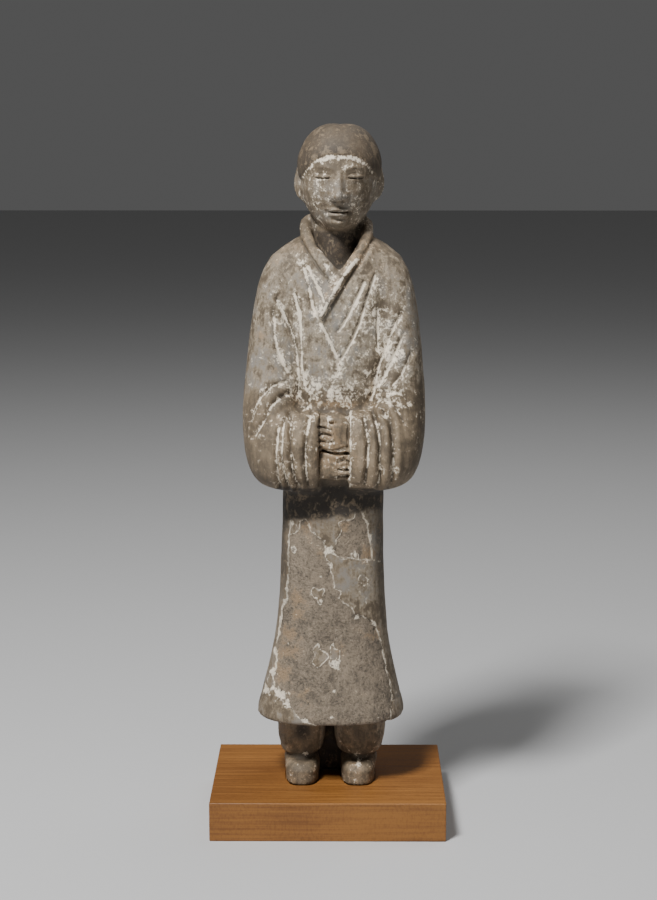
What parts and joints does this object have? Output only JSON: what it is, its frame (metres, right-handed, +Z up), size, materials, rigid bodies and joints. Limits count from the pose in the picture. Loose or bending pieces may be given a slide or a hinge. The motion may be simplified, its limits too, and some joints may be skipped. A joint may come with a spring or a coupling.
{
  "type": "clay tomb figurine",
  "caption": "Standing robed tomb attendant of grey clay, fists stacked between hanging sleeves, with worn white slip, on a plain wooden base block.",
  "frame": {"origin": "middle of the wooden base's underside, on the surface it stands on", "axes": "+Z up, the figure faces -Y, +X is the viewer's right when facing it"},
  "size_m": [0.1944, 0.16, 0.5821],
  "materials": {
    "clay": "matte grey-brown fired clay with worn white slip, ochre stain and a rough flaked skirt front",
    "wood": "satin orange-brown hardwood with fine straight grain"
  },
  "bodies": {
    "root": {"clay_figure": "clay", "wooden_base": "wood"}
  },
  "joints": []
}
